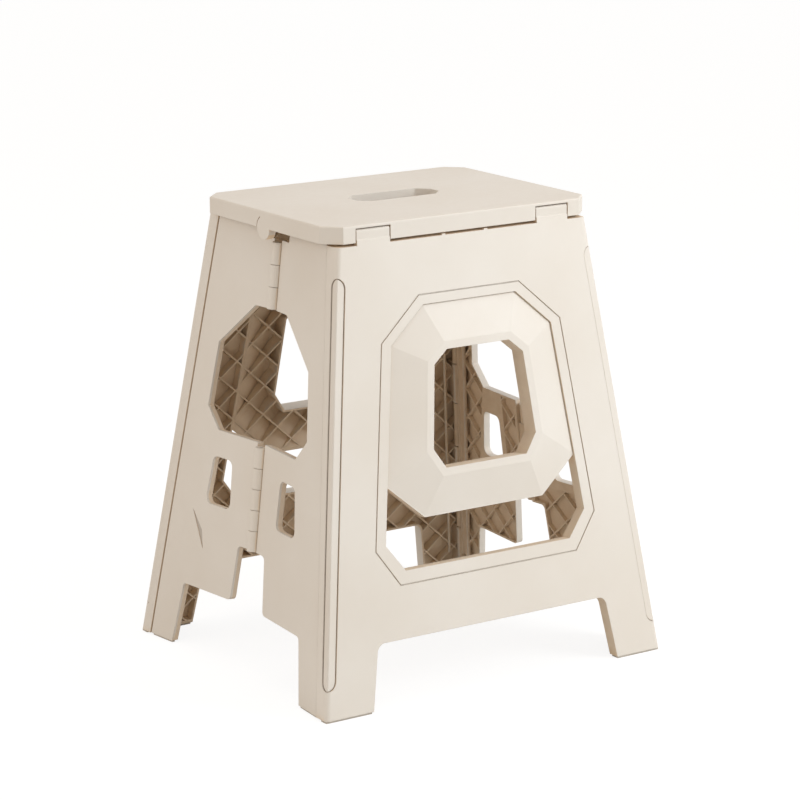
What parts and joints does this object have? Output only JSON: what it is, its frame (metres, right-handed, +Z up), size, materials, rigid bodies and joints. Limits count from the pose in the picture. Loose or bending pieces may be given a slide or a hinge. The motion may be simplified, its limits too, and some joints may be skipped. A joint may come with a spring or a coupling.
{
  "type": "folding stool",
  "caption": "Moulded folding stool with a flat seat and hand slot, splayed leg panels with a raised ring, and side panels that hinge inwards so it folds flat.",
  "frame": {"origin": "on the floor under the middle of the seat, stool opened out", "axes": "+X to the right along the front, +Y to the rear, +Z up"},
  "size_m": [0.3924, 0.3464, 0.45],
  "materials": {
    "seat_plastic": "fine matt grain",
    "panel_plastic": "fine matt grain",
    "pin_steel": "drawn wire",
    "foot_rubber": "matt"
  },
  "bodies": {
    "front_frame": {"front_leg_panel": "panel_plastic", "front_left_corner_pin": "pin_steel", "front_right_corner_pin": "pin_steel", "front_left_foot_pad": "foot_rubber", "front_right_foot_pad": "foot_rubber"},
    "seat": {"seat_top": "seat_plastic", "left_seat_hinge_pin": "pin_steel", "right_seat_hinge_pin": "pin_steel"},
    "left_front": {"left_front_side_panel": "panel_plastic", "left_front_side_foot_pad": "foot_rubber", "left_upper_middle_pin": "pin_steel", "left_lower_middle_pin": "pin_steel"},
    "left_rear": {"left_rear_side_panel": "panel_plastic", "left_rear_side_foot_pad": "foot_rubber"},
    "rear_frame": {"rear_leg_panel": "panel_plastic", "rear_left_corner_pin": "pin_steel", "rear_right_corner_pin": "pin_steel", "rear_left_foot_pad": "foot_rubber", "rear_right_foot_pad": "foot_rubber"},
    "right_front": {"right_front_side_panel": "panel_plastic", "right_front_side_foot_pad": "foot_rubber", "right_upper_middle_pin": "pin_steel", "right_lower_middle_pin": "pin_steel"},
    "right_rear": {"right_rear_side_panel": "panel_plastic", "right_rear_side_foot_pad": "foot_rubber"}
  },
  "joints": [
    {"name": "seat_hinge", "type": "hinge", "parent": "front_frame", "child": "seat", "pos_m": [0, -0.1102, 0.4432], "axis": [1, 0, 0], "range_deg": [0, 82]},
    {"name": "side_fold", "type": "hinge", "parent": "front_frame", "child": "left_front", "pos_m": [-0.1885, -0.1565, 0], "axis": [-0.1235, -0.1333, -0.9834], "range_deg": [0, 84]},
    {"name": "left_middle_fold", "type": "hinge", "parent": "left_front", "child": "left_rear", "pos_m": [-0.18123, 0, 0], "axis": [0.1121, 0, 0.9937], "range_deg": [0, 166.5]},
    {"name": "left_rear_corner_fold", "type": "hinge", "parent": "left_rear", "child": "rear_frame", "pos_m": [-0.1885, 0.1565, 0], "axis": [-0.1235, 0.1333, -0.9834], "range_deg": [0, 84.5]},
    {"name": "right_front_corner_fold", "type": "hinge", "parent": "front_frame", "child": "right_front", "pos_m": [0.1885, -0.1565, 0], "axis": [-0.1235, 0.1333, 0.9834], "range_deg": [0, 84.5]},
    {"name": "right_middle_fold", "type": "hinge", "parent": "right_front", "child": "right_rear", "pos_m": [0.18123, 0, 0], "axis": [0.1121, 0, -0.9937], "range_deg": [0, 166.5]}
  ],
  "couplings": [
    {"joint": "left_middle_fold", "follows": "side_fold", "ratio": 1.978},
    {"joint": "left_rear_corner_fold", "follows": "side_fold", "ratio": 1},
    {"joint": "right_front_corner_fold", "follows": "side_fold", "ratio": 1},
    {"joint": "right_middle_fold", "follows": "side_fold", "ratio": 1.978}
  ]
}
